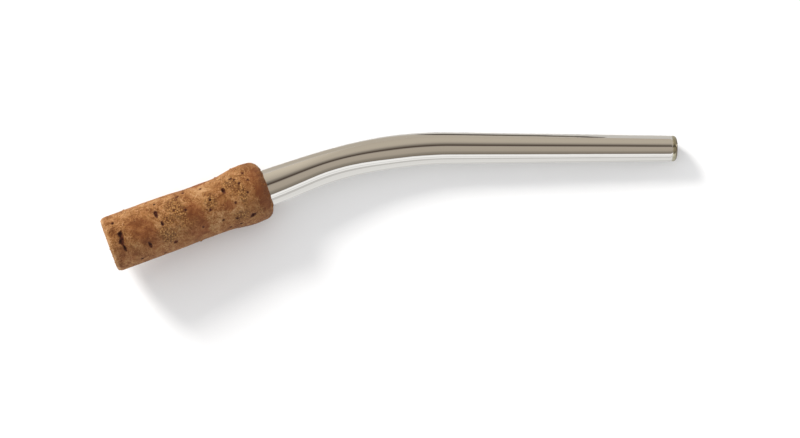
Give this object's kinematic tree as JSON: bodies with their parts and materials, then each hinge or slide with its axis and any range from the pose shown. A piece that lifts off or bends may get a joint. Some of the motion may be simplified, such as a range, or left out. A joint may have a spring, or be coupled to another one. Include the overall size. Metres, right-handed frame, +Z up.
{
  "type": "dip pen holder",
  "caption": "Cork grip with a spring-leaf nib socket, on a bent and tapered polished steel tube closed by a round-nosed plug; holds a dip pen nib for writing and drawing.",
  "frame": {"origin": "centre of the bounding box's bottom: the pen lies on the XY plane on the side of its tail and the rear shoulder of its grip", "axes": "+Z up, +X from the grip towards the butt along the straight tail as seen from above, +Y the convex side of the bend"},
  "size_m": [0.1592, 0.0393, 0.0199],
  "materials": {
    "cork": "matte",
    "polished_steel": "polished",
    "plug_steel": "satin",
    "bush_alloy": "satin",
    "ferrule_steel": "polished",
    "spring_steel": "satin"
  },
  "bodies": {
    "holder": {"cork_grip": "cork", "handle_tube": "polished_steel", "tail_plug": "plug_steel", "coupling_bush": "bush_alloy", "socket_ferrule": "ferrule_steel", "spring_cup": "spring_steel"},
    "leaf_1": {"spring_leaf_1": "spring_steel"},
    "leaf_2": {"spring_leaf_2": "spring_steel"},
    "leaf_3": {"spring_leaf_3": "spring_steel"},
    "leaf_4": {"spring_leaf_4": "spring_steel"}
  },
  "joints": [
    {"name": "leaf_1_flex", "type": "hinge", "parent": "holder", "child": "leaf_1", "pos_m": [-0.06395, -0.00965, 0.01375], "axis": [0.2528, -0.8046, -0.5373], "range_deg": [0, 3], "stiffness_Nm_per_rad": 0.2},
    {"name": "leaf_2_flex", "type": "hinge", "parent": "holder", "child": "leaf_2", "pos_m": [-0.064, -0.01071, 0.00935], "axis": [-0.2707, 0.4744, -0.8377], "range_deg": [0, 3], "stiffness_Nm_per_rad": 0.2},
    {"name": "leaf_3_flex", "type": "hinge", "parent": "holder", "child": "leaf_3", "pos_m": [-0.06568, -0.00661, 0.00839], "axis": [-0.2528, 0.8046, 0.5373], "range_deg": [0, 3], "stiffness_Nm_per_rad": 0.2},
    {"name": "leaf_4_flex", "type": "hinge", "parent": "holder", "child": "leaf_4", "pos_m": [-0.06562, -0.00556, 0.01279], "axis": [0.2707, -0.4744, 0.8377], "range_deg": [0, 3], "stiffness_Nm_per_rad": 0.2}
  ]
}
